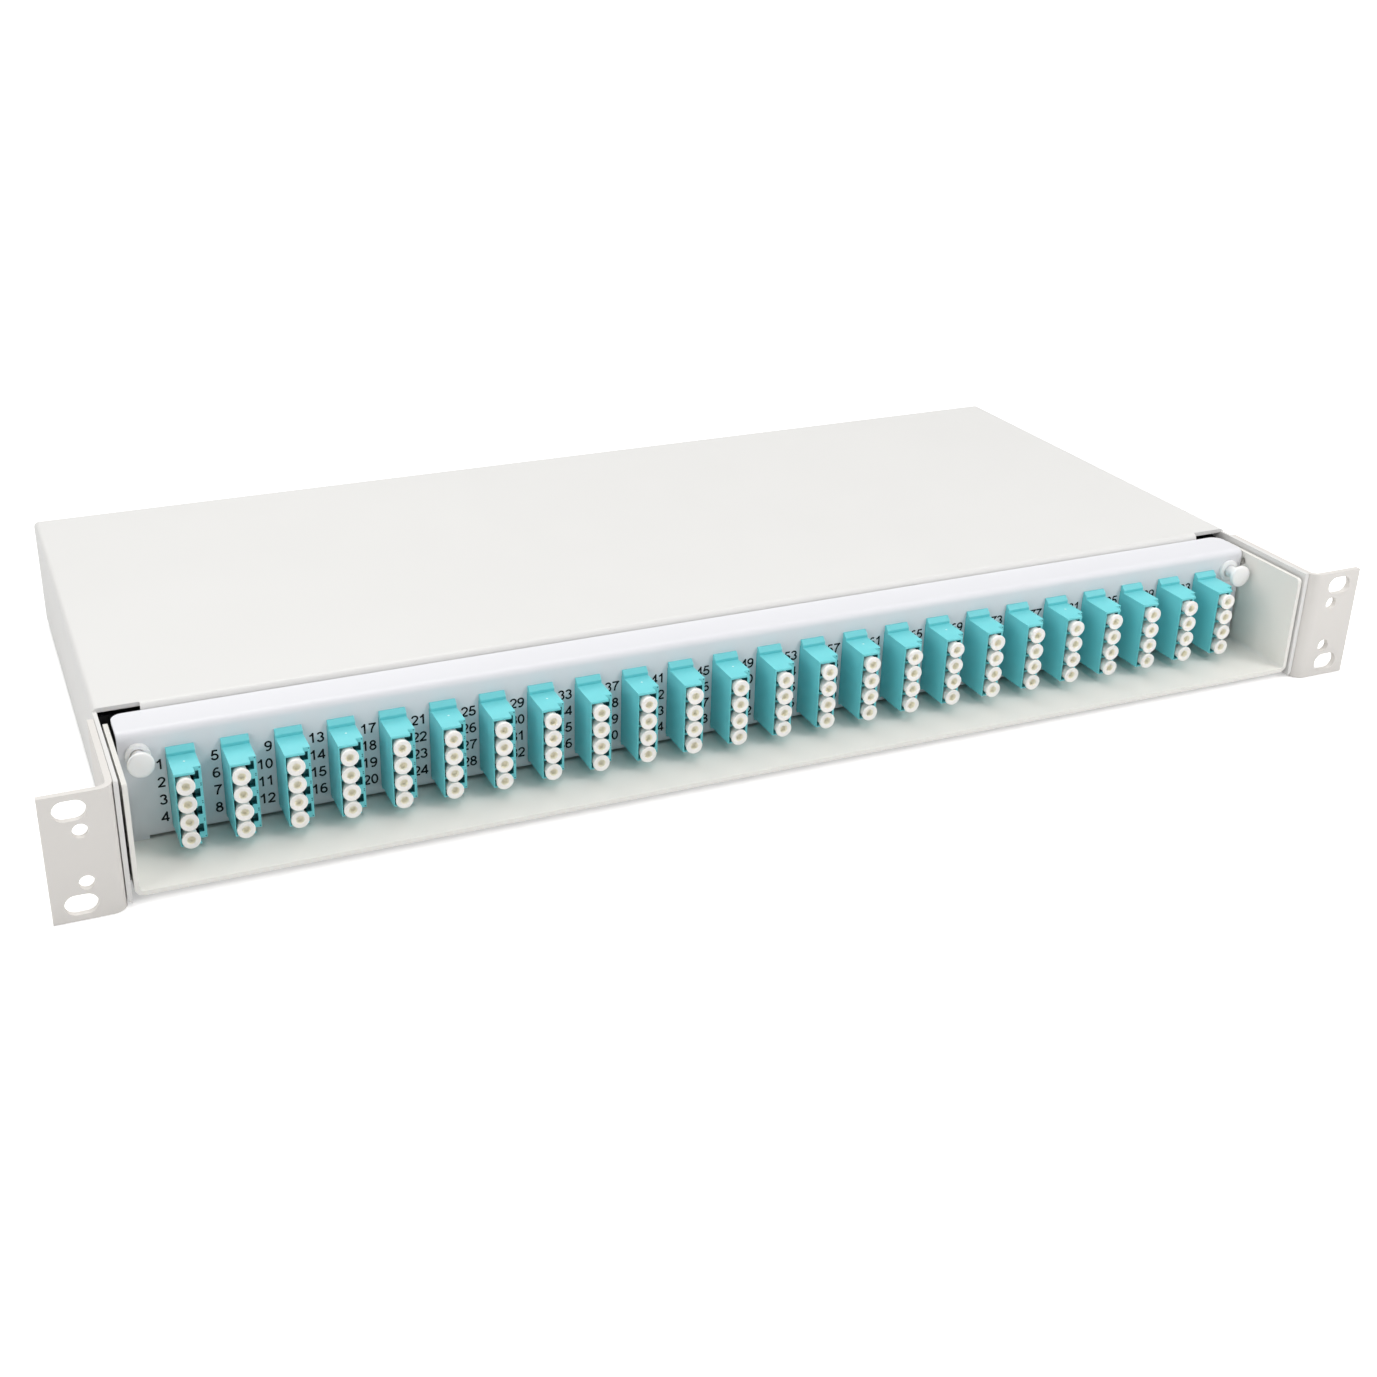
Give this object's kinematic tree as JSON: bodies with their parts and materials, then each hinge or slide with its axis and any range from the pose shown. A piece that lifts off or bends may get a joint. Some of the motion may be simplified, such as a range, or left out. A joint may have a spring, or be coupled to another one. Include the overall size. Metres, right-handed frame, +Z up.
{
  "type": "fibre optic patch panel",
  "caption": "Flat rack-mounted steel housing with flanged ears and a sliding drawer whose front plate carries a row of aqua multi-port fibre adapters with dust caps.",
  "frame": {"origin": "middle of the four rack slots, on the rear face of the rack ears", "axes": "+X to the panel's right seen from its front, +Y to its back, +Z up"},
  "size_m": [0.4826, 0.2445, 0.0439],
  "materials": {
    "housing_paint": "satin powder coat, light grey",
    "ear_paint": "satin powder coat, light grey",
    "drawer_paint": "satin powder coat, light grey",
    "aqua_plastic": "smooth moulded",
    "cap_plastic": "soft satin",
    "latch_plastic": "translucent white nylon",
    "zinc_steel": "zinc plated",
    "cassette_plastic": "smooth moulded",
    "clip_plastic": "smooth moulded",
    "gland_plastic": "satin moulded"
  },
  "bodies": {
    "housing_body": {"housing": "housing_paint", "rear_panel": "housing_paint", "rear_panel_rivets": "zinc_steel", "left_ear": "ear_paint", "right_ear": "ear_paint", "ear_screws": "zinc_steel", "latch_bracket_left": "housing_paint", "latch_bracket_right": "housing_paint", "cable_gland_left": "gland_plastic", "cable_gland_right": "gland_plastic", "gland_locknuts": "gland_plastic", "blanking_plugs": "gland_plastic"},
    "drawer": {"tray": "drawer_paint", "adapter_plate": "drawer_paint", "plate_rivets": "zinc_steel", "adapter_01": "aqua_plastic", "adapter_02": "aqua_plastic", "adapter_03": "aqua_plastic", "adapter_04": "aqua_plastic", "adapter_05": "aqua_plastic", "adapter_06": "aqua_plastic", "adapter_07": "aqua_plastic", "adapter_08": "aqua_plastic", "adapter_09": "aqua_plastic", "adapter_10": "aqua_plastic", "adapter_11": "aqua_plastic", "adapter_12": "aqua_plastic", "adapter_13": "aqua_plastic", "adapter_14": "aqua_plastic", "adapter_15": "aqua_plastic", "adapter_16": "aqua_plastic", "adapter_17": "aqua_plastic", "adapter_18": "aqua_plastic", "adapter_19": "aqua_plastic", "adapter_20": "aqua_plastic", "adapter_21": "aqua_plastic", "adapter_22": "aqua_plastic", "adapter_23": "aqua_plastic", "adapter_24": "aqua_plastic", "latch_grommet_left": "latch_plastic", "latch_grommet_right": "latch_plastic", "splice_cassette_left_lower": "cassette_plastic", "splice_cassette_left_upper": "cassette_plastic", "splice_cassette_right_lower": "cassette_plastic", "splice_cassette_right_upper": "cassette_plastic", "cassette_cover_left": "cassette_plastic", "cassette_cover_right": "cassette_plastic", "cassette_studs": "zinc_steel", "cassette_nuts": "zinc_steel", "fibre_clips": "clip_plastic", "cable_posts": "clip_plastic"},
    "left_plunger": {"latch_plunger_left": "latch_plastic"},
    "right_plunger": {"latch_plunger_right": "latch_plastic"},
    "dust_caps": {"dust_caps_row_1": "cap_plastic", "dust_caps_row_2": "cap_plastic", "dust_caps_row_3": "cap_plastic", "dust_caps_row_4": "cap_plastic"}
  },
  "joints": [
    {"name": "drawer_slide", "type": "slide", "parent": "housing_body", "child": "drawer", "axis": [0, -1, 0], "range_m": [0, 0.1565]},
    {"name": "left_plunger_push", "type": "slide", "parent": "drawer", "child": "left_plunger", "axis": [0, 1, 0], "range_m": [0, 0.0045]},
    {"name": "right_plunger_push", "type": "slide", "parent": "drawer", "child": "right_plunger", "axis": [0, 1, 0], "range_m": [0, 0.0045]},
    {"name": "dust_caps_pull", "type": "slide", "parent": "drawer", "child": "dust_caps", "axis": [0, -1, 0], "range_m": [0, 0.02]}
  ]
}
